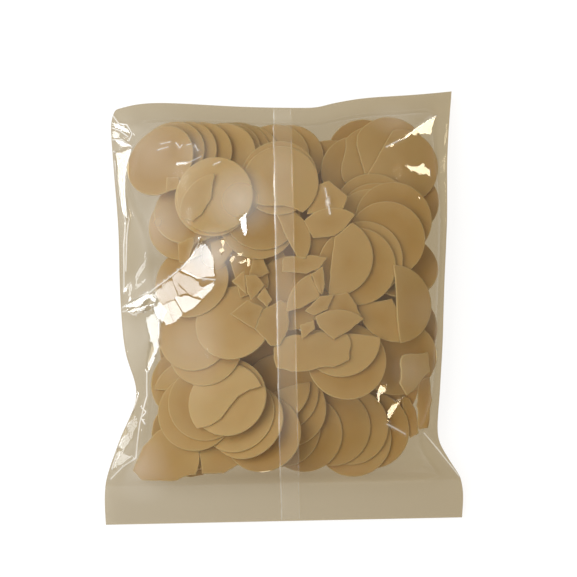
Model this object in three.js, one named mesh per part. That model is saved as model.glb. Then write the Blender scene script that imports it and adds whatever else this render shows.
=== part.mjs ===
// A clear pillow bag packed with small rice papads, lying on its plain face with the seamed face up.
// The bag is one closed solid: an upper and a lower sheet of film drawn round the heap of papads,
// joined along the two folded sides and along a flat welded seal at each end.
// X runs across the bag, Y from the bottom seal to the top seal, Z up. Millimetres.
import * as THREE from "three";
import { ParametricGeometry } from "three/addons/geometries/ParametricGeometry.js";
import { mergeGeometries, mergeVertices } from "three/addons/utils/BufferGeometryUtils.js";

// Sizes of the film tube and its welds.
const FILM_WIDTH = 178;
const BAG_LENGTH = 216;
const BOTTOM_SEAL = 19;
const TOP_SEAL = 10;
const SEAL_THICKNESS = 0.8;
const SEAM_WIDTH = 9;
const SEAM_OFFSET = 1.3;
const SEAM_RISE = 0.5;
const SEAM_STEP = 0.4;

// Height of the heap, and how far in from each edge the film takes to reach it or the table.
const CROWN_HEIGHT = 36;
const CROWN_DROP = 5;
const UPPER_REACH = { left: 36, right: 25, bottom: 25, top: 36 };
const LOWER_REACH = { left: 26, right: 20, bottom: 22, top: 26 };

// How soon a sheet rises from an edge: 0.5 stands up as an ellipse does, 1 slopes as a parabola does.
const UPPER_SLOPE = { left: 0.75, right: 0.55, bottom: 0.55, top: 0.6 };
const LOWER_SLOPE = { left: 0.6, right: 0.6, bottom: 0.6, top: 0.6 };

// How far each side is drawn in from the flat film, at distances up from the bottom edge.
const LEFT_DRAWN_IN = [
  [0, -2.5], [20, -2.3], [41, 4.7], [64, 13.6], [87, 7.6],
  [115, 5], [150, 4], [182, 1.5], [207, -0.3], [216, 1.5],
];
const RIGHT_DRAWN_IN = [
  [0, 2.2], [17, 1.6], [30, 8.8], [41, 13.4], [64, 11.6],
  [87, 9.4], [115, 7.4], [150, 4.4], [182, 2.5], [216, -2],
];

// Height of the side folds above the table, and the width of the empty film along them.
const LEFT_FOLD_HEIGHT = [[0, 4], [19, 7], [60, 10], [110, 9], [170, 10], [206, 8], [216, 6]];
const RIGHT_FOLD_HEIGHT = [[0, 4], [19, 7], [60, 13], [110, 14], [170, 13], [206, 9], [216, 7]];
const LEFT_FLANGE = [
  [0, 9], [20, 10], [41, 12], [62, 6], [87, 15], [114, 16],
  [142, 15], [162, 8], [176, 6], [196, 10], [216, 8],
];
const RIGHT_FLANGE = [[0, 9], [20, 9], [38, 9], [52, 4], [70, 2.5], [150, 2.5], [190, 6], [216, 8]];

// The top edge is pulled longer at its right corner and dips beside the seam, and its weld is wavy.
const TOP_EDGE_SHIFT = [[-88, -0.5], [-70, 2.5], [-36, 1.5], [16, -2], [27, 0], [49, 3.5], [92, 6]];
const TOP_SHIFT_FROM = 150;
const TOP_WAVE_HEIGHT = 1.6;
const TOP_WAVE_LENGTH = 95;

// Mounds and hollows where fans of papads press on the film: place, height and spread.
const MOUNDS = [
  { x: -38, y: 166, rise: 2.2, spread: 22 },
  { x: 44, y: 166, rise: 2.4, spread: 26 },
  { x: 34, y: 130, rise: 1.2, spread: 16 },
  { x: 0, y: 116, rise: -2.2, spread: 15 },
  { x: -30, y: 62, rise: 2.4, spread: 22 },
  { x: 32, y: 46, rise: 2, spread: 20 },
];

// Folds standing up in the slack film, each from one point to another, and the rolled left edge.
const FOLDS = [
  { from: [-82, 109], to: [-46, 146], rise: 4, spread: 4.5 },
  { from: [-81, 118], to: [-83, 150], rise: 2.4, spread: 2.4 },
  { from: [-83, 150], to: [-86, 186], rise: 2.8, spread: 2.6 },
  { from: [-86, 186], to: [-76, 206], rise: 2.2, spread: 4 },
  { from: [62, 192], to: [78, 208], rise: 2, spread: 4 },
  { from: [72, 46], to: [84, 24], rise: 2.2, spread: 3 },
  { from: [-72, 46], to: [-86, 24], rise: 2.2, spread: 3 },
];

// Distance in from the edge of the film over which the folds flatten out.
const FOLD_FADE = 3;

// Facets of the two sheets.
const FLANGE_COLUMNS = 4;
const SLOPE_COLUMNS = 15;
const SIDE_COLUMNS = FLANGE_COLUMNS + SLOPE_COLUMNS;
const SEAM_COLUMNS = 4;
const COLUMNS = 2 * SIDE_COLUMNS + SEAM_COLUMNS;
const BOTTOM_SEAL_ROWS = 3;
const TOP_SEAL_ROWS = 2;
const BODY_ROWS = 42;
const ROWS = BOTTOM_SEAL_ROWS + BODY_ROWS + TOP_SEAL_ROWS;
const EDGE_CROWDING = 1.35;
const CURVE_SAMPLES = 200;
const WELD_TOLERANCE = 1e-3;

const { clamp, lerp, smoothstep } = THREE.MathUtils;

// A smooth curve through points given as [along, value], read at any place along.
function curveThrough(points) {
  const spline = new THREE.SplineCurve(points.map(([along, value]) => new THREE.Vector2(along, value)));
  const samples = spline.getPoints(CURVE_SAMPLES);
  return (along) => {
    const found = samples.findIndex((sample) => sample.x >= along);
    const next = found < 0 ? samples.length - 1 : Math.max(found, 1);
    const before = samples[next - 1];
    const after = samples[next];
    const share = clamp((along - before.x) / (after.x - before.x), 0, 1);
    return lerp(before.y, after.y, share);
  };
}

const leftDrawnIn = curveThrough(LEFT_DRAWN_IN);
const rightDrawnIn = curveThrough(RIGHT_DRAWN_IN);
const leftFoldHeight = curveThrough(LEFT_FOLD_HEIGHT);
const rightFoldHeight = curveThrough(RIGHT_FOLD_HEIGHT);
const leftFlange = curveThrough(LEFT_FLANGE);
const rightFlange = curveThrough(RIGHT_FLANGE);
const topEdgeShift = curveThrough(TOP_EDGE_SHIFT);

const topSealLine = BAG_LENGTH - TOP_SEAL;

// Distance up from the bottom edge of one row of facets, crowded towards both seals.
function rowPlace(row) {
  if (row <= BOTTOM_SEAL_ROWS) {
    return (BOTTOM_SEAL * row) / BOTTOM_SEAL_ROWS;
  }
  if (row >= BOTTOM_SEAL_ROWS + BODY_ROWS) {
    return topSealLine + (TOP_SEAL * (row - BOTTOM_SEAL_ROWS - BODY_ROWS)) / TOP_SEAL_ROWS;
  }
  const even = (row - BOTTOM_SEAL_ROWS) / BODY_ROWS;
  const crowded = (1 - Math.cos(Math.PI * even)) / 2;
  return lerp(BOTTOM_SEAL, topSealLine, (even + crowded) / 2);
}

// Place across the bag of a column counted in from one side: first its flange, then up to the seam.
function sidePlace(column, edge, flangeLine, seamLine) {
  if (column <= FLANGE_COLUMNS) {
    return lerp(edge, flangeLine, column / FLANGE_COLUMNS);
  }
  const share = (column - FLANGE_COLUMNS) / SLOPE_COLUMNS;
  return lerp(flangeLine, seamLine, share ** EDGE_CROWDING);
}

// Place across the bag of any column of facets, with columns along both edges of the seam.
function columnPlace(column, bounds) {
  const seamHalf = SEAM_WIDTH / 2;
  const seamStops = [-seamHalf - SEAM_STEP, -seamHalf, 0, seamHalf, seamHalf + SEAM_STEP];
  const seamLines = seamStops.map((stop) => SEAM_OFFSET + stop);
  if (column < SIDE_COLUMNS) {
    return sidePlace(column, bounds.left, bounds.leftFlange, seamLines[0]);
  }
  if (column > SIDE_COLUMNS + SEAM_COLUMNS) {
    return sidePlace(COLUMNS - column, bounds.right, bounds.rightFlange, seamLines[SEAM_COLUMNS]);
  }
  return seamLines[column - SIDE_COLUMNS];
}

// The folded edges and flange lines of the bag, at one distance up from the bottom edge.
function boundsAt(y) {
  const left = leftDrawnIn(y) - FILM_WIDTH / 2;
  const right = FILM_WIDTH / 2 - rightDrawnIn(y);
  return { left, right, leftFlange: left + leftFlange(y), rightFlange: right - rightFlange(y) };
}

// Rise of a film sheet from an edge, levelling out at its reach.
function edgeRise(distance, reach, slope) {
  const remaining = 1 - clamp(distance / reach, 0, 1);
  return (1 - remaining * remaining) ** slope;
}

// Share of the full height, from 0 at the flanges and seals to 1 over the heap.
function fullness(x, y, bounds, reach, slope) {
  const left = edgeRise(x - bounds.leftFlange, reach.left, slope.left);
  const right = edgeRise(bounds.rightFlange - x, reach.right, slope.right);
  const bottom = edgeRise(y - BOTTOM_SEAL, reach.bottom, slope.bottom);
  const top = edgeRise(topSealLine - y, reach.top, slope.top);
  return left * right * bottom * top;
}

function moundHeight(x, y) {
  let height = 0;
  for (const mound of MOUNDS) {
    const distance = Math.hypot(x - mound.x, y - mound.y);
    height += mound.rise * Math.exp(-((distance / mound.spread) ** 2));
  }
  return height;
}

function foldHeight(x, y) {
  const here = new THREE.Vector3(x, y, 0);
  const nearest = new THREE.Vector3();
  let height = 0;
  for (const fold of FOLDS) {
    const line = new THREE.Line3(new THREE.Vector3(...fold.from, 0), new THREE.Vector3(...fold.to, 0));
    line.closestPointToPoint(here, true, nearest);
    const ridge = fold.rise * Math.exp(-((here.distanceTo(nearest) / fold.spread) ** 2));
    height = Math.max(height, ridge);
  }
  return height;
}

// Height of the dome over the heap, before the film falls to its edges.
function crownHeight(x, y) {
  const across = (2 * x) / FILM_WIDTH;
  const along = (2 * y) / BAG_LENGTH - 1;
  return CROWN_HEIGHT - (CROWN_DROP * (across * across + along * along)) / 2 + moundHeight(x, y);
}

// One point of the upper or the lower sheet, at a column and row of facets.
function filmPoint(column, row, isUpper, target) {
  const place = rowPlace(row);
  const bounds = boundsAt(place);
  const x = columnPlace(column, bounds);
  const y = place + topEdgeShift(x) * smoothstep(place, TOP_SHIFT_FROM, BAG_LENGTH);

  const wave = TOP_WAVE_HEIGHT * Math.sin((2 * Math.PI * x) / TOP_WAVE_LENGTH);
  const across = (x - bounds.left) / (bounds.right - bounds.left);
  const folds = lerp(leftFoldHeight(place), rightFoldHeight(place), across);
  const rim = folds + wave * smoothstep(place, topSealLine - UPPER_REACH.top, BAG_LENGTH);

  const onRim = column === 0 || column === COLUMNS || row === 0 || row === ROWS;
  if (onRim) {
    return target.set(x, y, rim);
  }
  const filmHalf = SEAL_THICKNESS / 2;
  if (!isUpper) {
    const fall = fullness(x, place, bounds, LOWER_REACH, LOWER_SLOPE);
    return target.set(x, y, (rim - filmHalf) * (1 - fall));
  }
  const rise = fullness(x, place, bounds, UPPER_REACH, UPPER_SLOPE);
  const heap = (crownHeight(x, place) - rim) * rise;
  const fromEdge = Math.min(x - bounds.left, bounds.right - x, place, BAG_LENGTH - place);
  const ridges = foldHeight(x, place) * smoothstep(fromEdge, 0, FOLD_FADE);
  const seam = Math.abs(x - SEAM_OFFSET) <= SEAM_WIDTH / 2 ? SEAM_RISE : 0;
  return target.set(x, y, rim + filmHalf + heap + ridges + seam);
}

function filmSheet(isUpper) {
  const facing = (share) => Math.round((isUpper ? share : 1 - share) * COLUMNS);
  const sheet = new ParametricGeometry(
    (across, along, target) => filmPoint(facing(across), Math.round(along * ROWS), isUpper, target),
    COLUMNS,
    ROWS,
  );
  sheet.deleteAttribute("normal");
  sheet.deleteAttribute("uv");
  return sheet;
}

// The two sheets share their rim, and the bag's footprint is centred on the origin.
function bagGeometry() {
  const geometry = mergeVertices(mergeGeometries([filmSheet(true), filmSheet(false)]), WELD_TOLERANCE);
  geometry.computeBoundingBox();
  const { min, max } = geometry.boundingBox;
  geometry.translate(-(min.x + max.x) / 2, -(min.y + max.y) / 2, -min.z);
  geometry.computeVertexNormals();
  return geometry;
}

const clearFilm = new THREE.MeshStandardMaterial({ color: 0xc2ac88, roughness: 0.25, metalness: 0 });

const bag = new THREE.Mesh(bagGeometry(), clearFilm);
bag.name = "bag";

const bagOfPapads = new THREE.Group();
bagOfPapads.add(bag);

export default bagOfPapads;
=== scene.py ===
import math
import random
from dataclasses import dataclass

import bmesh
import bpy
import numpy as np
from mathutils import Matrix, Vector
from mathutils.bvhtree import BVHTree


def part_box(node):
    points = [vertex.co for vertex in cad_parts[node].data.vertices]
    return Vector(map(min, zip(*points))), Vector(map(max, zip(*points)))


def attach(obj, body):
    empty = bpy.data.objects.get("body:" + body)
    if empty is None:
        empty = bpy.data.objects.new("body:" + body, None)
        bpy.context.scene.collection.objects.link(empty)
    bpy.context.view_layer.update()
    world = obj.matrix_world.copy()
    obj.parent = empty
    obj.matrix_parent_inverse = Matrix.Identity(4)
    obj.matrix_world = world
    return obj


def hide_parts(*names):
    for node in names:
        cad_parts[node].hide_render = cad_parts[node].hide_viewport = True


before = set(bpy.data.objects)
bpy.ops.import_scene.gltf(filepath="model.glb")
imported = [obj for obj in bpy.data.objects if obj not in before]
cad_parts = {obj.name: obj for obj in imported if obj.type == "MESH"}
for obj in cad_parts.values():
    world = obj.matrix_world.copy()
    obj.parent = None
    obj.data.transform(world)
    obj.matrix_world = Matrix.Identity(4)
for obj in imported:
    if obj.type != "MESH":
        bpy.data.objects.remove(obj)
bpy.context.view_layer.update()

# View: a camera held above the bottom seal, looking almost straight down on the bag and turned a little.
# The papads and creases that show are placed by the photograph's pixels, so the view comes first.
MM = 0.001
PHOTO_SIDE = 577
SENSOR_MM = 36.0
LENS_MM = 75.5
VIEW_DISTANCE = 620 * MM
VIEW_ELEVATION = math.radians(80)
VIEW_ROLL = math.radians(1.2)
VIEW_CENTRE = Vector((2.8, 6.1, 10.0)) * MM

toward_camera = Vector((0, -math.cos(VIEW_ELEVATION), math.sin(VIEW_ELEVATION)))
level_right = Vector((1, 0, 0))
level_up = toward_camera.cross(level_right)
view_right = level_right * math.cos(VIEW_ROLL) - level_up * math.sin(VIEW_ROLL)
view_up = level_right * math.sin(VIEW_ROLL) + level_up * math.cos(VIEW_ROLL)
camera_place = VIEW_CENTRE + toward_camera * VIEW_DISTANCE

camera_data = bpy.data.cameras.new("view")
camera_data.lens = LENS_MM
camera_data.sensor_width = SENSOR_MM
camera = bpy.data.objects.new("view", camera_data)
camera.matrix_world = Matrix((view_right, view_up, toward_camera)).transposed().to_4x4()
camera.location = camera_place
bpy.context.collection.objects.link(camera)
bpy.context.scene.camera = camera


def line_of_sight(column, row):
    """The direction from the camera through a pixel of the photograph."""
    pixels_per_unit = PHOTO_SIDE * LENS_MM / SENSOR_MM
    across = (column - PHOTO_SIDE / 2) / pixels_per_unit
    down = (row - PHOTO_SIDE / 2) / pixels_per_unit
    return (view_right * across - view_up * down - toward_camera).normalized()


def from_photo(column, row, height):
    """The point at one height that the photograph shows at a pixel."""
    sight = line_of_sight(column, row)
    return camera_place + sight * ((height - camera_place.z) / sight.z)


# Studio: a pale floor under soft light. A wide pale sky at the left shades the papads, and a small
# bright window and a warm lamp are what the shiny film throws back.
SKY_PLACE = Vector((-420, 0, 560)) * MM
SKY_WIDTH = 600 * MM
SKY_WATTS = 3.7
SKY_COLOUR = (1.0, 0.98, 0.95)
WINDOW_PLACE = Vector((-430, 300, 560)) * MM
WINDOW_WIDTH = 250 * MM
WINDOW_WATTS = 4.5
WINDOW_COLOUR = (0.92, 0.97, 1.0)
LAMP_PLACE = Vector((350, 330, 600)) * MM
LAMP_WIDTH = 160 * MM
LAMP_WATTS = 2.0
LAMP_COLOUR = (1.0, 0.84, 0.58)
ROOM_LEFT = (0.78, 0.78, 0.78, 1)
ROOM_RIGHT = (0.58, 0.53, 0.43, 1)
FLOOR_COLOUR = (0.2, 0.2, 0.2, 1)
FLOOR_GLOW = 0.85
FLOOR_HALF = 3.0
FLOOR_DROP = 0.2 * MM
HALF = 0.5


def area_light(name, place, width, watts, colour):
    """A square soft light aimed at the bag."""
    data = bpy.data.lights.new(name, "AREA")
    data.size = width
    data.energy = watts
    data.color = colour
    light = bpy.data.objects.new(name, data)
    light.location = place
    light.rotation_euler = (-place).to_track_quat("-Z", "Y").to_euler()
    bpy.context.collection.objects.link(light)
    return light


class Nodes:
    """The nodes of a material, or of the room, in the making."""

    def __init__(self, owner):
        owner.use_nodes = True
        self.owner = owner
        self.tree = owner.node_tree
        self.tree.nodes.clear()

    def give(self, socket, value):
        if isinstance(value, bpy.types.NodeSocket):
            self.tree.links.new(value, socket)
        else:
            socket.default_value = value

    def add(self, kind, **inputs):
        node = self.tree.nodes.new("ShaderNode" + kind)
        for name, value in inputs.items():
            self.give(node.inputs[name.replace("_", " ")], value)
        return node

    def operate(self, kind, operation, values):
        node = self.add(kind)
        node.operation = operation
        for socket, value in zip(node.inputs, values):
            self.give(socket, value)
        return node.outputs[0]

    def number(self, operation, *values):
        return self.operate("Math", operation, values)

    def vector(self, operation, *values):
        return self.operate("VectorMath", operation, values)

    def colour(self, share, first, second):
        node = self.add("MixRGB", Fac=share, Color1=first, Color2=second)
        return node.outputs[0]

    def attribute(self, name):
        node = self.add("Attribute")
        node.attribute_name = name
        return node.outputs["Fac"]

    def layered(self, share, under, over):
        node = self.add("MixShader", Fac=share)
        self.give(node.inputs[1], under)
        self.give(node.inputs[2], over)
        return node.outputs[0]

    def show(self, shader, output="OutputMaterial"):
        self.add(output, Surface=shader)


def new_piece(name, builder, material):
    """A smooth-shaded object of a finished mesh, at the origin."""
    mesh = bpy.data.meshes.new(name)
    builder.to_mesh(mesh)
    mesh.shade_smooth()
    mesh.materials.append(material)
    piece = bpy.data.objects.new(name, mesh)
    bpy.context.collection.objects.link(piece)
    return piece


sky = area_light("sky", SKY_PLACE, SKY_WIDTH, SKY_WATTS, SKY_COLOUR)
window = area_light("window", WINDOW_PLACE, WINDOW_WIDTH, WINDOW_WATTS, WINDOW_COLOUR)
lamp = area_light("lamp", LAMP_PLACE, LAMP_WIDTH, LAMP_WATTS, LAMP_COLOUR)
sky.visible_glossy = False
window.visible_diffuse = False
lamp.visible_diffuse = False
room = Nodes(bpy.data.worlds.new("room"))
direction = room.add("TexCoord").outputs["Generated"]
rightward = room.add("SeparateXYZ", Vector=direction).outputs["X"]
right_share = room.number("MULTIPLY_ADD", rightward, HALF, HALF)
walls = room.colour(right_share, ROOM_LEFT, ROOM_RIGHT)
room.show(room.add("Background", Color=walls).outputs[0], "OutputWorld")
bpy.context.scene.world = room.owner
bpy.context.scene.view_settings.view_transform = "Standard"

pale_floor = Nodes(bpy.data.materials.new("pale_floor"))
matt = pale_floor.add("BsdfDiffuse", Color=FLOOR_COLOUR).outputs[0]
glow = pale_floor.add("Emission", Strength=FLOOR_GLOW).outputs[0]
lit_floor = pale_floor.add("AddShader")
pale_floor.give(lit_floor.inputs[0], matt)
pale_floor.give(lit_floor.inputs[1], glow)
pale_floor.show(lit_floor.outputs[0])
floor_mesh = bmesh.new()
bmesh.ops.create_grid(floor_mesh, x_segments=1, y_segments=1, size=FLOOR_HALF)
bmesh.ops.translate(floor_mesh, vec=(0, 0, -FLOOR_DROP), verts=floor_mesh.verts)
new_piece("floor", floor_mesh, pale_floor.owner)

# Film: one sheet of clear polypropylene, 0.05 mm thick, wrapped into a tube and lapped down the middle
# of the upper face. Heat bars weld the lap and flatten both ends. It lies slack at the left and at the
# corners, where it folds and crumples, and tight over the papads.
RIM_ANGLE = math.radians(100)
MERGE_DISTANCE = 0.01 * MM
FILM_LEVELS = 2
bag_low, bag_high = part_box("bag")
up = Vector((0, 0, 1))
WELL_ABOVE = 1.0

film_start = bmesh.new()
film_start.from_mesh(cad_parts["bag"].data)
bmesh.ops.remove_doubles(film_start, verts=film_start.verts, dist=MERGE_DISTANCE)
bmesh.ops.join_triangles(
    film_start,
    faces=film_start.faces,
    angle_face_threshold=math.pi,
    angle_shape_threshold=math.pi,
)
rim_crease = film_start.edges.layers.float.new("crease_edge")
for edge in film_start.edges:
    edge[rim_crease] = 1.0 if edge.calc_face_angle(0) > RIM_ANGLE else 0.0
film_cage = bpy.data.objects.new("film_cage", bpy.data.meshes.new("film_cage"))
film_start.to_mesh(film_cage.data)
bpy.context.collection.objects.link(film_cage)
rounding = film_cage.modifiers.new("rounding", "SUBSURF")
rounding.levels = FILM_LEVELS
rounding.render_levels = FILM_LEVELS
film = bmesh.new()
film.from_object(film_cage, bpy.context.evaluated_depsgraph_get())
bpy.data.objects.remove(film_cage)
slack_layer = film.verts.layers.float.new("slack")
weld_layer = film.verts.layers.float.new("weld")
upper_layer = film.verts.layers.float.new("upper")
sharp_layer = film.verts.layers.float.new("sharp")
painted_sheen_layer = film.verts.layers.float.new("painted_sheen")
painted_shade_layer = film.verts.layers.float.new("painted_shade")
film.normal_update()
smooth_film = BVHTree.FromBMesh(film)


def on_film(column, row):
    """Where the line of sight through a pixel meets the film, or the film's edge beside it."""
    spot = smooth_film.ray_cast(camera_place, line_of_sight(column, row))[0]
    return spot or smooth_film.find_nearest(from_photo(column, row, bag_low.z))[0]


# Facets: where the film is pulled flat and throws back a light: how clearly, and their corners in pixels.
WINDOW_FACET_STEP = 2.2 * MM
LAMP_FACET_STEP = 1.1 * MM
FACETS_TO_WINDOW = {
    "main upper": (
        0.55,
        [(200, 238), (207, 244), (214, 258), (215, 277), (197, 279), (180, 272), (190, 256)],
    ),
    "main middle": (0.45, [(183, 268), (198, 281), (204, 289), (190, 296), (179, 285)]),
    "main middle left": (
        0.45,
        [(183, 268), (180, 284), (190, 295), (163, 304), (152, 295), (167, 281)],
    ),
    "main lower right": (0.75, [(216, 280), (211, 291), (203, 299), (190, 296), (203, 286)]),
    "main lower": (0.75, [(191, 293), (204, 298), (194, 308), (184, 315), (174, 298)]),
    "main lower left": (
        0.7,
        [(176, 297), (185, 314), (176, 323), (166, 326), (157, 318), (152, 307), (163, 300)],
    ),
    "fan upper": (0.7, [(121, 311), (144, 295), (153, 293), (157, 300), (136, 308)]),
    "fan lower": (0.6, [(122, 314), (136, 307), (157, 299), (153, 309), (140, 312)]),
    "ear upper": (0.2, [(134, 409), (138, 424), (131, 441), (125, 422)]),
    "ear middle": (0.3, [(125, 424), (130, 441), (123, 452), (118, 445)]),
    "ear lower": (0.25, [(118, 447), (124, 453), (133, 457), (122, 464), (113, 470)]),
    "sliver": (
        0.6,
        [(146, 318), (154, 311), (159, 322), (159, 345), (149, 371), (146, 366), (150, 345)],
    ),
    "left band": (
        0.6,
        [(115, 152), (132, 148), (126, 166), (125, 190), (128, 221), (122, 212), (117, 180)],
    ),
    "corner one": (0.8, [(112, 122), (119, 125), (127, 128), (132, 134), (122, 131), (114, 127)]),
    "corner two": (0.6, [(113, 131), (120, 133), (120, 138), (113, 138)]),
    "corner three": (0.8, [(114, 140), (123, 141), (132, 146), (121, 147)]),
    "rim glint": (1.0, [(239, 218), (247, 211), (246, 217), (248, 234), (244, 238), (241, 228)]),
}
FACETS_TO_LAMP = {
    "top right": (
        1.0,
        [(436, 116), (431, 135), (420, 134), (406, 138), (389, 146), (405, 136), (420, 125)],
    ),
    "right patch": (
        1.0,
        [(403, 163), (416, 167), (422, 163), (430, 169), (430, 177), (419, 174), (409, 171)],
    ),
    "dot": (1.0, [(418, 196), (421, 197), (420, 200), (418, 199)]),
    "glint one": (
        0.8,
        [(220, 240), (226, 239), (224, 246), (225, 251), (221, 254), (219, 250), (222, 246)],
    ),
    "glint two": (0.8, [(229, 261), (233, 254), (236, 257), (232, 264)]),
    "glint four": (0.8, [(236, 252), (243, 252), (241, 257), (238, 256)]),
    "glint five": (0.8, [(238, 262), (246, 258), (247, 262), (240, 265)]),
    "glint three": (0.8, [(247, 258), (251, 257), (250, 268), (247, 267)]),
    "hollow left": (
        1.0,
        [(388, 383), (386, 391), (380, 396), (379, 404), (377, 404), (377, 391), (380, 385)],
    ),
    "hollow right": (1.0, [(405, 396), (397, 407), (391, 417), (387, 424), (387, 411), (394, 402)]),
}
facets = bmesh.new()
clear_layer = facets.faces.layers.float.new("clear")
step_layer = facets.faces.layers.float.new("step")
facet_groups = (
    (WINDOW_PLACE, WINDOW_FACET_STEP, FACETS_TO_WINDOW),
    (LAMP_PLACE, LAMP_FACET_STEP, FACETS_TO_LAMP),
)
for light_place, step, outlines in facet_groups:
    for clearness, outline in outlines.values():
        spots = [on_film(*corner) for corner in outline]
        middle = sum(spots, Vector()) / len(spots)
        facing = (light_place - middle).normalized() + (camera_place - middle).normalized()
        corners = []
        for spot in spots:
            fall = (spot.xy - middle.xy).dot(facing.xy) / facing.z
            corners.append(facets.verts.new((spot.x, spot.y, middle.z - fall)))
        facet = facets.faces.new(corners)
        facet[clear_layer] = clearness
        facet[step_layer] = step
bmesh.ops.triangulate(facets, faces=facets.faces)
facets.faces.ensure_lookup_table()
facet_tree = BVHTree.FromBMesh(facets)


def facet_over(place):
    """How far a facet shifts the film at a place and its clearness, or None where there is none."""
    spot, _, index, _ = facet_tree.ray_cast(Vector((place.x, place.y, WELL_ABOVE)), -up)
    if spot is None:
        return None
    facet = facets.faces[index]
    step = facet[step_layer]
    shift = (spot.z - place.z + step) % (2 * step) - step
    return shift, facet[clear_layer]


# Creases: lines where the film stands up in a sharp fold, with a painted white glint along the fold:
# height in mm, and pixels.
CREASE_HALF_WIDTH = 1.4 * MM
SHEEN_LINE = 0.55 * MM
CREASES = {
    "ridge": (0.7, [(121, 312), (144, 295), (167, 280), (183, 267), (193, 254), (200, 238)]),
    "ridge fold": (0.4, [(183, 271), (197, 278), (215, 280)]),
    "ridge zigzag": (0.6, [(121, 315), (127, 311), (134, 315), (140, 312), (154, 308)]),
    "ridge tail": (0.5, [(154, 309), (159, 321), (159, 345), (148, 372)]),
    "side": (0.6, [(147, 372), (147, 396), (144, 407), (140, 423), (136, 458), (124, 466), (111, 479)]),
    "side squiggle": (0.5, [(142, 408), (146, 412), (141, 418), (145, 424)]),
    "ear": (0.4, [(138, 396), (128, 425), (118, 450), (112, 469)]),
    "ear glint": (0.4, [(116, 449), (120, 454), (117, 459)]),
    "corner one": (0.6, [(111, 122), (119, 124), (127, 125), (132, 134), (129, 141)]),
    "corner two": (0.6, [(112, 128), (120, 131), (128, 137)]),
    "corner three": (0.6, [(112, 140), (122, 140), (132, 147)]),
    "corner four": (0.6, [(114, 152), (124, 155), (132, 147)]),
    "corner five": (0.6, [(117, 165), (124, 155)]),
    "roll outer": (0.6, [(115, 161), (121, 202), (126, 222), (124, 246), (124, 292)]),
    "roll inner": (0.6, [(131, 149), (124, 171), (126, 207), (129, 220), (127, 237), (126, 271)]),
    "top left": (0.3, [(177, 163), (190, 162), (200, 157)]),
    "glint one": (0.3, [(158, 150), (168, 147)]),
    "glint two": (0.3, [(161, 144), (170, 142)]),
    "glint three": (0.3, [(176, 143), (180, 148), (182, 145)]),
    "glint four": (0.3, [(187, 145), (191, 144)]),
    "glint five": (0.3, [(195, 145), (198, 151)]),
    "glint six": (0.3, [(215, 164), (220, 162)]),
    "cracked": (0.2, [(325, 187), (330, 214)]),
    "top right": (0.4, [(386, 147), (405, 138), (420, 126), (436, 116)]),
    "hollow": (0.4, [(387, 424), (405, 434)]),
    "low right": (0.4, [(424, 433), (440, 452), (459, 476)]),
}
crease_spots = []
for height, line in CREASES.values():
    spots = [on_film(*pixel).xy for pixel in line]
    for start, end in zip(spots, spots[1:]):
        crease_spots.append((height * MM, start, end))


def crease_at(place):
    """How far the creases lift the film at a place, and how strong a painted glint they put on it."""
    rise = 0.0
    painted_sheen = 0.0
    for height, start, end in crease_spots:
        along = end - start
        share = min(max((place - start).dot(along) / along.length_squared, 0), 1)
        distance = (place - start - along * share).length
        rise = max(rise, height * (1 - distance / CREASE_HALF_WIDTH))
        painted_sheen = max(painted_sheen, 1 - distance / SHEEN_LINE)
    return rise, painted_sheen


# The mesh is finer along creases and facets, so that they stay sharp.
FINER_CUTS = 2
FINER_REACH = 1.5 * MM


def is_folded(vertex):
    """Whether a vertex of the upper sheet is on a crease or on or beside a facet."""
    if vertex.normal.z <= 0:
        return False
    near_facet = facet_tree.find_nearest(vertex.co, FINER_REACH)[0]
    return bool(near_facet or facet_over(vertex.co) or crease_at(vertex.co.xy)[0] > 0)


folded = {vertex for vertex in film.verts if is_folded(vertex)}
fold_edges = [edge for edge in film.edges if folded.issuperset(edge.verts)]
bmesh.ops.subdivide_edges(film, edges=fold_edges, cuts=FINER_CUTS, use_grid_fill=True)
film.normal_update()
upper_sheet = [vertex for vertex in film.verts if vertex.normal.z > 0]

# Crumples: flat facets of random height, deep where the film is slack and faint where it is tight.
# Painted sheens, white patches that stand in for a veil of reflected light, with their whiteness, and
# slack spots are round: column, row and radius in pixels.
CRUMPLE_SEED = 5
CRUMPLE_CELL = 7 * MM
CRUMPLE_SHIFT = 0.35
CRUMPLE_OVERHANG = 1.1
CRUMPLE_ABOVE = 2.0
CRUMPLE_SLACK = 0.5 * MM
CRUMPLE_TIGHT = 0.10 * MM
SHEET_GAP = 0.5 * MM
SLACK_START = 1.3
SLACK_GAP = 12 * MM
SLACK_MOST = 0.35
SLACK_SHARP = 0.25
TIGHT_SHARP = 0.04
FACET_CRUMPLE = 0.08 * MM
FOLD_ANGLE = math.radians(20)
PAINTED_SHEEN_MEAN = 0.75
PAINTED_SHEENS = {
    "pale disc rim": (0.32, (240, 200, 40)),
    "pale disc": (0.04, (210, 195, 45)),
    "top left": (0.16, (150, 150, 55)),
    "top left right": (0.16, (190, 150, 32)),
    "top middle": (0.05, (275, 165, 45)),
    "top right": (0.12, (395, 118, 28)),
    "fan": (0.2, (150, 298, 30)),
    "left pair": (0.11, (185, 345, 45)),
    "low corner": (0.16, (140, 470, 35)),
    "left film": (0.1, (138, 215, 60)),
    "left shoulder": (0.2, (158, 222, 38)),
    "beside the facet": (0.35, (216, 254, 32)),
    "right edge": (0.06, (425, 310, 75)),
    "right flat": (0.1, (412, 372, 30)),
    "centre": (0.04, (305, 320, 70)),
    "left low film": (0.14, (135, 335, 45)),
}
BOTTOM_SEAL = 19 * MM
TOP_SEAL = 14 * MM
# Where the painted shadow of the heap lies on the film, above the bottom seal.
SHADE_PLACE = 23 * MM
SHADE_REACH = 7 * MM
SHADE_HALF_WIDTH = 90 * MM
SPOT_SLACK = 1.2
SLACK_SPOTS = {"under the pale disc": (236, 254, 17), "top left": (124, 136, 18)}
crumple_random = random.Random(CRUMPLE_SEED)
crumple = bmesh.new()
crumple_count = round(CRUMPLE_OVERHANG * (bag_high.y - bag_low.y) / CRUMPLE_CELL)
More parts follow.
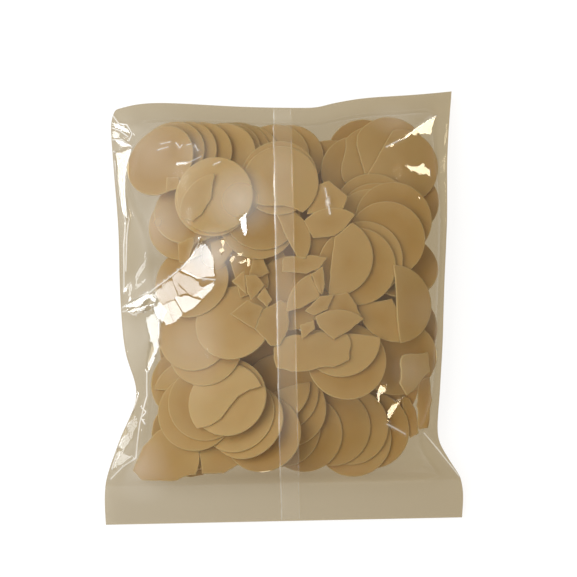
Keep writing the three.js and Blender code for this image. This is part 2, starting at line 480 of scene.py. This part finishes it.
bmesh.ops.create_grid(
    crumple,
    x_segments=crumple_count,
    y_segments=crumple_count,
    size=crumple_count * CRUMPLE_CELL / 2,
)
for vertex in crumple.verts:
    vertex.co.x += crumple_random.uniform(-CRUMPLE_SHIFT, CRUMPLE_SHIFT) * CRUMPLE_CELL
    vertex.co.y += crumple_random.uniform(-CRUMPLE_SHIFT, CRUMPLE_SHIFT) * CRUMPLE_CELL
    vertex.co.z = crumple_random.uniform(-1, 1)
bmesh.ops.triangulate(crumple, faces=crumple.faces)
crumple_tree = BVHTree.FromBMesh(crumple)


def film_spot(column, row, radius):
    """A round spot on the film, from pixels."""
    spot = on_film(column, row).xy
    return spot, (on_film(column + radius, row).xy - spot).length


slack_spots = [film_spot(*pixels) for pixels in SLACK_SPOTS.values()]
painted_sheens = [(amount, *film_spot(*pixels)) for amount, pixels in PAINTED_SHEENS.values()]

for vertex in film.verts:
    vertex[weld_layer] = 1.0 if vertex.co.y < bag_low.y + BOTTOM_SEAL else 0.0
    # Painted shadow: the film above the bottom seal is marked where the heap shades it, most in the
    # middle.
    from_shade_line = abs(vertex.co.y - bag_low.y - SHADE_PLACE) / SHADE_REACH
    from_middle = abs(vertex.co.x) / SHADE_HALF_WIDTH
    vertex[painted_shade_layer] = max(1 - from_shade_line, 0) * max(1 - from_middle, 0)
for vertex in upper_sheet:
    place = vertex.co.copy()
    vertex[upper_layer] = 1.0
    under = smooth_film.ray_cast(place - up * SHEET_GAP, -up)[0]
    gap = place.z - under.z if under else 0.0
    in_seal = place.y < bag_low.y + BOTTOM_SEAL or place.y > bag_high.y - TOP_SEAL
    slack = 0.0 if in_seal else min(max(SLACK_START - gap / SLACK_GAP, 0), SLACK_MOST)
    for spot, radius in slack_spots:
        slack = max(slack, SPOT_SLACK - (place.xy - spot).length / radius)
    slack = min(slack, 1)
    vertex[slack_layer] = slack
    vertex[sharp_layer] = SLACK_SHARP if in_seal or slack > 0 else TIGHT_SHARP
    above = Vector((place.x, place.y, CRUMPLE_ABOVE))
    crumpled = crumple_tree.ray_cast(above, -up)[0].z
    facet = facet_over(place)
    # The painted glint along the creases flickers with the crumples.
    rise, painted_sheen = crease_at(place.xy)
    painted_sheen *= PAINTED_SHEEN_MEAN + (1 - PAINTED_SHEEN_MEAN) * crumpled
    # Round patches of painted sheen, standing in for reflected light.
    for amount, spot, radius in painted_sheens:
        painted_sheen = max(painted_sheen, amount * (1 - (place.xy - spot).length / radius))
    vertex[painted_sheen_layer] = painted_sheen
    if facet:
        shift, clearness = facet
        vertex.co.z += shift + crumpled * FACET_CRUMPLE
        vertex[slack_layer] = 0.0
        vertex[sharp_layer] = clearness
    else:
        depth = 0.0 if in_seal else CRUMPLE_TIGHT + slack * (CRUMPLE_SLACK - CRUMPLE_TIGHT)
        vertex.co.z += crumpled * depth + rise
        if rise > 0:
            vertex[sharp_layer] = 1.0
film.normal_update()
for edge in film.edges:
    edge.smooth = edge.calc_face_angle(0) < FOLD_ANGLE

# Clear film lets light through with a faint straw tint, shines at every fold, and is hazy where welded.
# Over this lie painted light and shade: a white sheen at creases and patches, and a tint painted
# darker towards the right and at the foot of the heap.
TINT_LEFT = (0.675, 0.622, 0.519, 1)
TINT_RIGHT_SHADED = (0.636, 0.572, 0.45, 1)
TINT_PAINTED_SHADOW = (0.575, 0.505, 0.39, 1)
FILM_SHINE = 0.05
GLANCING_POWER = 4.0
GLOSS_ROUGHNESS = 0.06
FILM_VEIL = 0.03
HAZE_ROUGHNESS = 0.55
HAZE_COLOUR = (1.0, 0.98, 0.94, 1)
PAINTED_SHEEN_COLOUR = (0.95, 0.93, 0.89, 1)
PAINTED_SHEEN_SHARE = 0.85
FACET_SIZE = 4.5 * MM
FACET_TILT = 0.3
WELD_HAZE = 0.05
SEAM_LEFT = -3.1 * MM
SEAM_RIGHT = 5.9 * MM
SEAM_EDGE = 0.35 * MM
SEAM_LEFT_HAZE = 0.6
SEAM_RIGHT_HAZE = 0.3
SEAM_HAZE = 0.05
WAVER = 1.0 * MM
WAVER_LENGTH = 12 * MM
clear_film = Nodes(bpy.data.materials.new("clear_film"))
spot = clear_film.add("TexCoord").outputs["Object"]
cells = clear_film.add("TexVoronoi", Vector=spot, Scale=1 / FACET_SIZE).outputs["Color"]
leaning = clear_film.vector("SUBTRACT", cells, (HALF, HALF, HALF))
crumpled = clear_film.number("MULTIPLY", clear_film.attribute("slack"), FACET_TILT)
lean = clear_film.vector("MULTIPLY", leaning, crumpled)
smooth_normal = clear_film.add("NewGeometry").outputs["Normal"]
normal = clear_film.vector("NORMALIZE", clear_film.vector("ADD", smooth_normal, lean))

x_place = clear_film.add("SeparateXYZ", Vector=spot).outputs["X"]
wander = clear_film.add("TexNoise", Vector=spot, Scale=1 / WAVER_LENGTH).outputs["Fac"]
seam_x = clear_film.number("MULTIPLY_ADD", wander, WAVER, x_place)
flicker = clear_film.number("MULTIPLY", wander, wander)
seam_haze = 0.0
for edge_x, edge_haze in ((SEAM_LEFT, SEAM_LEFT_HAZE), (SEAM_RIGHT, SEAM_RIGHT_HAZE)):
    from_edge = clear_film.number("ABSOLUTE", clear_film.number("SUBTRACT", seam_x, edge_x + WAVER / 2))
    on_edge = clear_film.number("LESS_THAN", from_edge, SEAM_EDGE)
    edge_shine = clear_film.number("MULTIPLY", on_edge, flicker)
    seam_haze = clear_film.number("MULTIPLY_ADD", edge_shine, edge_haze, seam_haze)
past_left = clear_film.number("GREATER_THAN", x_place, SEAM_LEFT)
before_right = clear_film.number("LESS_THAN", x_place, SEAM_RIGHT)
on_seam = clear_film.number("MULTIPLY", past_left, before_right)
seam_haze = clear_film.number("MULTIPLY_ADD", on_seam, SEAM_HAZE, seam_haze)
upper_haze = clear_film.number("MULTIPLY", clear_film.attribute("upper"), seam_haze)
haze = clear_film.number("MULTIPLY_ADD", clear_film.attribute("weld"), WELD_HAZE, upper_haze)
facing = clear_film.add("LayerWeight", Normal=normal).outputs["Facing"]
glancing = clear_film.number("POWER", facing, GLANCING_POWER)
reflecting = clear_film.number("MULTIPLY_ADD", glancing, 1 - FILM_SHINE, FILM_SHINE)
shine = clear_film.number("MULTIPLY", reflecting, clear_film.attribute("sharp"))

# Painted shade: the tint darkens and warms from left to right, as the light falls off across the bag.
bag_width = bag_high.x - bag_low.x
x_share = clear_film.number("MULTIPLY_ADD", x_place, 1 / bag_width, -bag_low.x / bag_width)
tint_shaded_rightward = clear_film.colour(x_share, TINT_LEFT, TINT_RIGHT_SHADED)
# Painted shadow: the tint darkens where the heap shades the film at its foot.
tint = clear_film.colour(clear_film.attribute("painted_shade"), tint_shaded_rightward, TINT_PAINTED_SHADOW)
clear = clear_film.add("BsdfTransparent", Color=tint).outputs[0]
gloss = clear_film.add("BsdfGlossy", Roughness=GLOSS_ROUGHNESS, Normal=normal).outputs[0]
veil = clear_film.add("BsdfGlossy", Color=HAZE_COLOUR, Roughness=HAZE_ROUGHNESS).outputs[0]
veiled = clear_film.layered(clear_film.number("ADD", haze, FILM_VEIL), clear, veil)
# Painted highlight: a diffuse white mixed in where the painted sheen attribute is set.
painted_white = clear_film.add("BsdfDiffuse", Color=PAINTED_SHEEN_COLOUR).outputs[0]
sheen_share = clear_film.number("MULTIPLY", clear_film.attribute("painted_sheen"), PAINTED_SHEEN_SHARE)
sheened_film = clear_film.layered(sheen_share, veiled, painted_white)
clear_film.show(clear_film.layered(shine, sheened_film, gloss))

film_tree = BVHTree.FromBMesh(film)
bag_film = new_piece("bag_film", film, clear_film.owner)
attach(bag_film, "root")
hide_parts("bag")

# Heap: papads are discs of rice dough, cut round, dried on trays and poured into the bag, where they
# slide into fans and stacks. Two height maps hold the room that is left between the upper and the lower
# film, and each papad is tilted until it lies as high, or as low, as that room lets it.
PAPAD_RADIUS = 19.3 * MM
PAPAD_THICKNESS = 1.0 * MM
PAPAD_GAP = 0.15 * MM
FILM_GAP = 0.4 * MM
CELL = 1 * MM
MAP_MARGIN = 25 * MM
NO_ROOM = -1.0
TWIST_LOBES = 2
HEAP_SEED = 11
heap_random = random.Random(HEAP_SEED)

map_low = bag_low.xy - Vector((MAP_MARGIN, MAP_MARGIN))
map_columns = math.ceil((bag_high.x + MAP_MARGIN - map_low.x) / CELL)
map_rows = math.ceil((bag_high.y + MAP_MARGIN - map_low.y) / CELL)
ceiling = np.full((map_columns, map_rows), NO_ROOM)
ground = np.full((map_columns, map_rows), -NO_ROOM)
for column in range(map_columns):
    for row in range(map_rows):
        over = Vector((map_low.x + column * CELL, map_low.y + row * CELL, WELL_ABOVE))
        top = film_tree.ray_cast(over, -up)[0]
        if top is None:
            continue
        bottom = film_tree.ray_cast(over - 2 * WELL_ABOVE * up, up)[0]
        if top.z - bottom.z > PAPAD_THICKNESS + 2 * FILM_GAP:
            ceiling[column, row] = top.z - FILM_GAP
            ground[column, row] = bottom.z + FILM_GAP
film_room = ceiling - ground
has_room = film_room > 0
hollow_above = np.where(has_room, film_room, 0)
hollow_below = np.where(has_room, film_room, 0)
film_top = ceiling.copy()
film_bottom = ground.copy()


@dataclass
class Papad:
    """A papad, whole or broken, flat on the table before it is laid in the bag."""

    flat: bmesh.types.BMesh
    sides: np.ndarray
    reaches: np.ndarray
    dome: float
    twist: float
    heading: float

    def curl(self, across, along):
        """The gentle curl that it dried to."""
        share = (across**2 + along**2) / PAPAD_RADIUS**2
        angle = np.arctan2(along, across)
        saddle = self.twist * share * np.cos(TWIST_LOBES * (angle - self.heading))
        return self.dome * (HALF - share) + saddle


def turned(slope):
    """The turn that lays a flat papad on a slope."""
    normal = Vector((-slope[0], -slope[1], 1))
    return up.rotation_difference(normal).to_matrix()


def footprint(papad, place, slope):
    """The map cells under a papad, with its upper height in each, from its middle."""
    turn = np.array(turned(slope))
    flatten = np.linalg.inv(turn[:2, :2])
    reach = papad.reaches.max()
    low = np.ceil((np.array(place) - reach - np.array(map_low)) / CELL).astype(int)
    high = np.floor((np.array(place) + reach - np.array(map_low)) / CELL).astype(int)
    columns = np.arange(low[0], high[0] + 1)
    rows = np.arange(low[1], high[1] + 1)
    column, row = (part.ravel() for part in np.meshgrid(columns, rows, indexing="ij"))
    offset = np.stack([map_low.x + column * CELL - place[0], map_low.y + row * CELL - place[1]])
    across, along = flatten @ offset
    inside = np.all(papad.sides @ np.stack([across, along]) <= papad.reaches[:, None], axis=0)
    column, row, across, along = column[inside], row[inside], across[inside], along[inside]
    height = turn[2, 0] * across + turn[2, 1] * along + papad.curl(across, along)
    return column, row, height


def lift(papad, place, slope, rising):
    """How high a papad's middle lies on a slope, and its mean height, or None where it doesn't fit."""
    column, row, height = footprint(papad, place, slope)
    if not np.all(has_room[column, row]):
        return None
    depth = PAPAD_THICKNESS * math.hypot(1, *slope)
    highest = np.min(ceiling[column, row] - height)
    lowest = np.max(ground[column, row] - height + depth)
    if lowest > highest:
        return None
    middle = highest if rising else lowest
    return middle, middle + np.mean(height)


SLOPE_STEPS = ((0.3, 3), (0.1, 2), (0.04, 1))
TUMBLE = 0.4 * MM
TILT_COST = 14 * MM


def settle(papad, place, rising):
    """The slope on which a papad lies highest or lowest, and its height there."""
    centre = (0.0, 0.0)
    for step, reach in SLOPE_STEPS:
        best = None
        for i in range(-reach, reach + 1):
            for j in range(-reach, reach + 1):
                slope = (centre[0] + i * step, centre[1] + j * step)
                lie = lift(papad, place, slope, rising)
                if lie is None:
                    continue
                merit = lie[1] if rising else -lie[1]
                merit += heap_random.uniform(0, TUMBLE) - TILT_COST * (slope[0] ** 2 + slope[1] ** 2)
                if best is None or merit > best[0]:
                    best = (merit, slope, lie[0])
        if best is None:
            return None
        centre = best[1]
    return best[1], best[2]


NUDGE = 1.0 * MM
NUDGES = 20
FILL_NUDGES = 6


def lay(papad, place, rising, nudges=FILL_NUDGES):
    """Lays a papad at a place, or as near it as there is room, and takes its room off the maps."""
    place = Vector(place)
    inward = -place.normalized() * NUDGE
    for _ in range(nudges):
        found = settle(papad, place, rising)
        if found:
            break
        place += inward
    else:
        return False
    slope, middle = found
    column, row, height = footprint(papad, place, slope)
    depth = PAPAD_THICKNESS * math.hypot(1, *slope)
    if rising:
        ceiling[column, row] = middle + height - depth - PAPAD_GAP
        depth_below_film = film_top[column, row] - middle - height
        hollow_above[column, row] = np.minimum(hollow_above[column, row], depth_below_film)
    else:
        ground[column, row] = middle + height + PAPAD_GAP
        height_over_film = middle + height - depth - film_bottom[column, row]
        hollow_below[column, row] = np.minimum(hollow_below[column, row], height_over_film)
    for vertex in papad.flat.verts:
        vertex.co.z += papad.curl(vertex.co.x, vertex.co.y)
    matrix = Matrix.Translation((place.x, place.y, middle)) @ turned(slope).to_4x4()
    bmesh.ops.transform(papad.flat, matrix=matrix, verts=papad.flat.verts)
    return True


# Papads: whole ones, about 39 mm across and 1 mm thick, with a cut rim. Broken ones snapped in
# the bag along short straight cracks, with sharp edges. Rims and cracks are painted pale, as light
# shining through the thin edges.
RIM_WIDTH = 0.5 * MM
RIM_GLOW = 0.3
DOME = 0.8 * MM
TWIST = 0.4 * MM
BEND = 0.05
LONG_BREAK = 12 * MM
RAGGED = 0.2 * MM
RAGGED_LENGTH = 3 * MM
SEEN_SEGMENTS = 36
SEEN_RINGS = 2
SEEN_CUTS = 5
HIDDEN_SEGMENTS = 20
HIDDEN_CUTS = 1
BREAK_SHARE = 0.985
HEAP_TONES = (0.45, 1.0)


def cut_papad(
    breaks=(),
    tone=None,
    bend=None,
    segments=SEEN_SEGMENTS,
    rings=SEEN_RINGS,
    cuts=SEEN_CUTS,
):
    """A flat papad, broken along lines of corners that keep it on their right, and its middle."""
    flat = bmesh.new()
    rim = flat.verts.layers.float.new("rim")
    tone_layer = flat.verts.layers.float.new("tone")
    bmesh.ops.create_circle(flat, cap_ends=True, segments=segments, radius=PAPAD_RADIUS)
    for start, end in zip(breaks, breaks[1:]):
        along = end - start
        bmesh.ops.bisect_plane(
            flat,
            geom=flat.verts[:] + flat.edges[:] + flat.faces[:],
            plane_co=start.to_3d(),
            plane_no=(-along.y, along.x, 0),
            clear_outer=True,
        )
    bmesh.ops.remove_doubles(flat, verts=flat.verts, dist=RIM_WIDTH)
    flat.faces.ensure_lookup_table()
    middle = flat.faces[0]
    centre = middle.calc_center_median_weighted()
    bmesh.ops.translate(flat, vec=-centre, verts=flat.verts)
    sides, reaches = [], []
    for edge in flat.edges:
        start, end = (vertex.co.xy for vertex in edge.verts)
        outward = (end - start).orthogonal().normalized()
        if outward.dot(start) < 0:
            outward.negate()
        sides.append(outward)
        reaches.append(outward.dot(start))
    for edge in flat.edges[:] if breaks else ():
        start, end = (vertex.co.copy() for vertex in edge.verts)
        along = end - start
        on_rim = ((start + end) / 2 + centre).length > BREAK_SHARE * PAPAD_RADIUS
        if on_rim or along.length < RAGGED_LENGTH:
            continue
        swing = along.length * (heap_random.uniform(-BEND, BEND) if bend is None else bend)
        if along.length < LONG_BREAK:
            swing = 0.0
        split = bmesh.ops.bisect_edges(flat, edges=[edge], cuts=cuts)["geom_split"]
        for vertex in split:
            if isinstance(vertex, bmesh.types.BMVert):
                share = (vertex.co - start).length / along.length
                sideways = swing * math.sin(math.tau * share) + heap_random.uniform(-RAGGED, RAGGED)
                vertex.co += along.cross(up).normalized() * sideways
    # Painted light: rims and cracks are marked to be painted pale, fading inward, as if lit through.
    for vertex in flat.verts:
        vertex[rim] = 1.0
    bmesh.ops.inset_region(flat, faces=[middle], thickness=RIM_WIDTH, use_boundary=True)
    for vertex in middle.verts:
        vertex[rim] = RIM_GLOW
    for _ in range(0 if breaks else rings):
        ring_width = PAPAD_RADIUS / (rings + 1)
        bmesh.ops.inset_region(flat, faces=[middle], thickness=ring_width, use_boundary=True)
        for vertex in middle.verts:
            vertex[rim] = 0.0
    for vertex in bmesh.ops.poke(flat, faces=[middle])["verts"]:
        vertex[rim] = 0.0
    heap_tone = heap_random.uniform(*HEAP_TONES)
    for vertex in flat.verts:
        vertex[tone_layer] = heap_tone if tone is None else tone
    bmesh.ops.solidify(flat, geom=flat.faces[:], thickness=PAPAD_THICKNESS)
    bmesh.ops.recalc_face_normals(flat, faces=flat.faces)
    papad = Papad(
        flat,
        np.array(sides),
        np.array(reaches),
        heap_random.uniform(-DOME, DOME),
        heap_random.uniform(0, TWIST),
        heap_random.uniform(0, math.pi),
    )
    return papad, centre.xy


whole_papads, broken_papads = [], []


def keep(papad, is_broken):
    (broken_papads if is_broken else whole_papads).append(papad)


HOLLOW = 4 * MM
SPOT_TRIES = 14


def hollow_spot(hollow, room, radius):
    """The emptiest of a few places where the film has nothing close behind it."""
    empty = (film_room > room) & (hollow > HOLLOW)
    spots = np.argwhere(empty)
    reach = round(radius / CELL)
    best = None
    for _ in range(SPOT_TRIES):
        column, row = spots[heap_random.randrange(len(spots))]
        amount = np.sum(empty[column - reach : column + reach + 1, row - reach : row + reach + 1])
        if best is None or amount > best[0]:
            best = (amount, column, row)
    return Vector((map_low.x + best[1] * CELL, map_low.y + best[2] * CELL))


# The papads that press on the upper film, from the front to the back, by the pixels of their middles.
# A broken one also has the corners of its breaks, clockwise.
PAPADS_SEEN = [
    ("leaf on the pale disc", (218, 211), [(215, 172), (211, 197), (202, 212), (192, 220), (179, 216)]),
    ("pale disc", (214, 193), []),
    ("under the pale disc", (212.5, 198), []),
    ("top middle", (280, 181), [(316, 215), (250, 198)]),
    ("top middle back", (279, 177), []),
    ("seam leaf", (272, 240), [(306, 259), (297, 257), (290, 243), (272, 203), (292, 204)]),
    ("below the pale disc", (262, 212), []),
    ("below the leaf", (258, 222), []),
    ("chip", (172, 182), [(166, 175), (178, 175), (179, 186), (165, 189), (166, 175)]),
    ("top left", (158.4, 156), []),
    ("top left second", (169.3, 154.3), []),
    ("top left third", (181.3, 154.5), []),
    ("top left fourth", (196, 155), []),
    ("top left fifth", (219, 155.4), []),
    ("top left sixth", (224, 153), []),
    ("top left seventh", (233, 152), []),
    ("top left eighth", (241, 150), []),
    ("behind the middle", (272, 152), []),
    ("behind the middle right", (287, 153), []),
    ("right leaf", (333, 245.5), [(354, 216), (344.6, 228), (335, 235), (313, 237), (304, 220)]),
    (
        "cracked",
        (328, 196),
        [(316, 183), (329, 179), (348, 196), (344, 208), (318, 212), (307, 212), (316, 183)],
    ),
    ("right side long", (396, 303), [(426, 343.5), (401.5, 344), (392, 265)]),
    ("shard one", (339, 348.5), [(362, 320), (351, 329), (334, 339.5), (319, 327), (315, 316)]),
    ("shard two", (326, 309), [(311, 273), (320, 297), (300, 308), (287, 311)]),
    (
        "shard three",
        (319, 280),
        [(311, 274), (323, 266), (325, 284), (322, 295), (318, 291), (311, 274)],
    ),
    (
        "shard four",
        (320, 304),
        [(320, 296), (334, 294.5), (328, 309), (314, 315.5), (305, 311), (320, 296)],
    ),
    ("shard five", (307, 329), [(300, 325), (314, 320.5), (315, 329), (302, 339), (300, 325)]),
    (
        "shard six",
        (304, 264),
        [(283, 258), (310, 255), (327, 258), (320, 268), (306, 273.5), (282, 271), (283, 258)],
    ),
    (
        "shard seven",
        (343, 306),
        [(333, 294), (348, 292), (356, 303), (362, 318), (340, 318), (326, 311), (333, 294)],
    ),
    (
        "shard eight",
        (253, 286),
        [(245, 275), (256.5, 275), (265, 285), (255, 296), (251, 300), (247, 290), (245, 275)],
    ),
    (
        "shard nine",
        (259, 263),
        [(255, 249), (262, 253), (269, 270), (261, 275), (248.5, 274), (252, 258), (255, 249)],
    ),
    ("shard ten", (240, 281), [(232, 281), (244.5, 270), (246, 294), (232, 281)]),
    ("shard eleven", (265, 298), [(264.6, 287), (272, 299), (267, 307), (257, 297), (264.6, 287)]),
    ("shard twelve", (249, 313), [(230, 314), (247, 300), (263.5, 307), (255, 329), (230, 314)]),
    (
        "shard thirteen",
        (275, 324),
        [
            (262, 310), (280, 299), (290, 303), (288, 330),
            (280, 345), (271, 346), (255, 329), (262, 310),
        ],
    ),
    (
        "shard fourteen",
        (222, 248),
        [(210, 240), (223, 234), (234, 233), (232, 247), (222, 262), (212, 262), (210, 240)],
    ),
    (
        "under the glints",
        (243, 268),
        [(226, 246), (246, 240), (262, 250), (268, 285), (240, 296), (226, 246)],
    ),
    ("chip left", (185, 250), [(177, 243), (194, 237), (190, 262), (178, 262), (177, 243)]),
    ("right half", (334.3, 256.2), [(329, 291), (331, 266), (335, 236), (355, 220)]),
    ("right first", (357, 266), []),
    ("right second", (364, 259), []),
    ("low shard", (397, 303), [(358, 304), (392, 298), (401, 315), (400, 342)]),
    ("right third", (386.5, 239.2), []),
    ("right fourth", (394, 218.6), []),
    ("right fifth", (372, 226), []),
    ("right sixth", (376.8, 219.7), []),
    ("right seventh", (373.3, 209.4), []),
    ("top right first", (405, 158), [(366, 172), (386, 137)]),
    ("top right second", (390, 153), [(354, 176), (356, 145), (352, 131)]),
    ("top right third", (375, 162), [(341, 179), (345, 140)]),
    ("top right fourth", (357.2, 172.7), []),
    ("behind the gap", (330, 172), []),
    ("right edge one", (402, 200), []),
    ("right edge two", (402, 262), []),
    ("middle square", (321, 250), [(309, 236), (335, 234), (332, 266), (312, 266), (309, 236)]),
    ("left first", (190, 207), []),
    ("left second", (184, 222), []),
    ("under the facet", (190, 277.4), []),
    ("left pair front", (232.4, 319.9), []),
    ("left pair back", (192.8, 329.6), []),
    ("left pair low", (204.9, 347.4), []),
    (
        "low middle broken",
        (313, 352),
        [
            (284, 337), (318, 331), (352, 333), (349, 360), (334, 367),
            (292, 371.5), (274, 367), (274, 347), (284, 337),
        ],
    ),
    ("low middle half", (341, 338), [(300, 327), (380, 337.5)]),
    ("low middle round", (347, 360.3), []),
    ("half on the round", (225, 400), [(264, 385.5), (205, 421)]),
    ("low left round", (228, 397), []),
    ("low left second", (206, 401.7), []),
    ("low left third", (195.7, 412), []),
    ("low left broken", (190, 398), [(210, 397), (155, 389)]),
    ("low left fourth", (160, 408), []),
    ("low left fifth", (237, 414.3), []),
    ("low left mid", (246, 421), []),
    ("low left sixth", (262, 433), []),
    (
        "low left corner",
        (160, 456),
        [
            (128, 470), (139, 446), (155, 430), (195, 425), (212, 450),
            (196, 474), (165, 481), (138, 480), (128, 470),
        ],
    ),
    (
        "low left chip",
        (218, 457),
        [(196, 440), (236, 440), (240, 462), (222, 473), (200, 473), (196, 440)],
    ),
    ("low fan first", (271.2, 381), [(250, 394), (308, 379)]),
    ("low fan second", (280, 388), []),
    ("low fan third", (288, 408), []),
    ("low fan fourth", (282, 428), []),
    ("low fan fifth", (304, 433), []),
    ("low fan sixth", (332, 427), []),
    ("low fan seventh", (350, 426), []),
    ("low fan eighth", (353, 438), []),
    ("low fan ninth", (371, 430), []),
    (
        "right low long",
        (427, 402),
        [(423, 380), (433, 376), (436, 400), (432, 428), (423, 430), (420, 405), (423, 380)],
    ),
    (
        "right low long second",
        (414, 412),
        [(405, 392), (413, 394), (420, 408), (423, 431), (414, 436), (408, 415), (405, 392)],
    ),
    (
        "right flat",
        (415, 373),
        [(400, 356), (431, 351), (434, 371), (407, 395), (398, 383), (400, 356)],
    ),
    ("right low first", (415, 365), []),
    ("right low second", (398, 392), []),
    ("right edge three", (401, 325), []),
    ("middle under", (290, 290), []),
    ("middle under left", (250, 270), []),
    ("middle under low", (272, 352), []),
]
# Set tones: some are the papads' own tone, but the dark ones of the low fans, the low left and the right
# are painted shade, and the pale right flat is painted light where it lies in shade.
TONES_AND_SHADE = {
    "pale disc": 0.0,
    "under the pale disc": 0.0,
    "top middle": 0.6,
    "leaf on the pale disc": 0.3,
    "half on the round": 0.2,
    "low left round": 0.3,
    "low middle half": 0.4,
    "right flat": 0.0,
    "low left sixth": 1.0,
    "low fan first": 0.8,
    "low fan second": 1.0,
    "low fan third": 1.0,
    "low fan fourth": 1.0,
    "low fan fifth": 1.0,
    "low fan sixth": 0.9,
    "right third": 1.0,
    "right fourth": 1.0,
}
BENDS = {"half on the round": 0.07, "leaf on the pale disc": 0.0, "right half": 0.0}
START_HEIGHT = 30 * MM
SIGHT_ROUNDS = 2
for name, middle, breaks in PAPADS_SEEN:
    height = START_HEIGHT
    for _ in range(SIGHT_ROUNDS):
        place = from_photo(*middle, height)
        column = round((place.x - map_low.x) / CELL)
        row = round((place.y - map_low.y) / CELL)
        if ceiling[column, row] > 0:
            height = ceiling[column, row]
    place = from_photo(*middle, height)
    corners = [(from_photo(*corner, height) - place).xy for corner in breaks]
    papad, shift = cut_papad(corners, TONES_AND_SHADE.get(name), BENDS.get(name))
    if lay(papad, place.xy + shift, True, NUDGES):
        keep(papad, bool(breaks))

# The rest of the heap fills the bag under them: broken papads in the gaps that show, then whole ones
# and more broken ones, flat on the lower film.
SHARD_SIZES = (5, 11)
SHARD_CORNERS = (4, 5)
GAP_ROOM = 22 * MM
GAP_BROKEN = 60
FILL_ROOM = 6 * MM
FILL_WHOLE = 80
FILL_BROKEN = 60
BARE_ROOM = 27 * MM
BARE_BROKEN = 30


def shard_corners(size):
    """Corners of a broken piece, clockwise."""
    count = heap_random.randint(*SHARD_CORNERS)
    start = heap_random.uniform(0, math.tau)
    corners = []
    for i in range(count + 1):
        angle = start - math.tau * (i % count) / count
        corners.append(Vector((math.cos(angle), math.sin(angle))) * size)
    return corners


def fill_broken(hollow, room, count, rising):
    for _ in range(count):
        if not np.any((film_room > room) & (hollow > HOLLOW)):
            break
        size = heap_random.uniform(*SHARD_SIZES) * MM
        corners = shard_corners(size)
        papad = cut_papad(corners, segments=HIDDEN_SEGMENTS, rings=0, cuts=HIDDEN_CUTS)[0]
        if lay(papad, hollow_spot(hollow, room, size), rising):
            keep(papad, True)


def fill_whole(hollow, room, count, rising):
    for _ in range(count):
        papad = cut_papad(segments=HIDDEN_SEGMENTS, rings=0)[0]
        if lay(papad, hollow_spot(hollow, room, PAPAD_RADIUS), rising):
            keep(papad, False)


has_room &= film_room > FILL_ROOM
fill_whole(hollow_below, FILL_ROOM, FILL_WHOLE, rising=False)
fill_broken(hollow_above, GAP_ROOM, GAP_BROKEN, rising=True)
fill_whole(hollow_above, FILL_ROOM, FILL_WHOLE, rising=True)
fill_broken(hollow_below, GAP_ROOM, FILL_BROKEN, rising=False)
for _ in range(BARE_BROKEN):
    is_bare = (ceiling == film_top) & (ground == film_bottom)
    fill_broken(np.where(is_bare, film_room, 0), BARE_ROOM, 1, rising=False)

# Dried rice dough is a matt cream, faintly mottled. Along the rims and where it snapped it is painted
# paler, as light shining through the thin edges.
PAPAD_CREAM = (0.79, 0.625, 0.363, 1)
PAPAD_TAN = (0.59, 0.40, 0.132, 1)
PAPAD_RIM_LIGHT = (0.93, 0.83, 0.58, 1)
PAPAD_ROUGHNESS = 0.5
PAPAD_SPECULAR = 0.3
PAPAD_GLOW = 0.4
GLOW_RADIUS = (1.0, 0.7, 0.4)
GLOW_DEPTH = 1.5 * MM
MOTTLE_SIZE = 9 * MM
MOTTLE_DETAIL = 4.0
MOTTLE_WEIGHT = 0.35
TONE_WEIGHT = 0.7
RIM_LIGHT_WEIGHT = 0.7
GRAIN_SIZE = 0.6 * MM
GRAIN_DETAIL = 3.0
GRAIN_BUMP = 0.15
GRAIN_DEPTH = 0.2 * MM
dried_dough = Nodes(bpy.data.materials.new("papad"))
spot = dried_dough.add("TexCoord").outputs["Object"]
mottle = dried_dough.add("TexNoise", Vector=spot, Scale=1 / MOTTLE_SIZE, Detail=MOTTLE_DETAIL)
mottled = dried_dough.number("MULTIPLY", mottle.outputs["Fac"], MOTTLE_WEIGHT)
shade = dried_dough.number("MULTIPLY_ADD", dried_dough.attribute("tone"), TONE_WEIGHT, mottled)
body = dried_dough.colour(shade, PAPAD_CREAM, PAPAD_TAN)
# Painted light along the rims and cracks.
pale = dried_dough.number("MULTIPLY", dried_dough.attribute("rim"), RIM_LIGHT_WEIGHT)
grain = dried_dough.add("TexNoise", Vector=spot, Scale=1 / GRAIN_SIZE, Detail=GRAIN_DETAIL)
bump = dried_dough.add("Bump", Strength=GRAIN_BUMP, Distance=GRAIN_DEPTH, Height=grain.outputs["Fac"])
dough = dried_dough.add(
    "BsdfPrincipled",
    Base_Color=dried_dough.colour(pale, body, PAPAD_RIM_LIGHT),
    Roughness=PAPAD_ROUGHNESS,
    Specular_IOR_Level=PAPAD_SPECULAR,
    Subsurface_Weight=PAPAD_GLOW,
    Subsurface_Radius=GLOW_RADIUS,
    Subsurface_Scale=GLOW_DEPTH,
    Normal=bump.outputs[0],
)
dried_dough.show(dough.outputs[0])

for name, group in (("papads", whole_papads), ("broken_papads", broken_papads)):
    heap = bmesh.new()
    heap.verts.layers.float.new("rim")
    heap.verts.layers.float.new("tone")
    scrap = bpy.data.meshes.new("scrap")
    for papad in group:
        papad.flat.to_mesh(scrap)
        heap.from_mesh(scrap)
        papad.flat.free()
    bpy.data.meshes.remove(scrap)
    piece = new_piece(name, heap, dried_dough.owner)
    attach(piece, "root")
    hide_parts("bag")
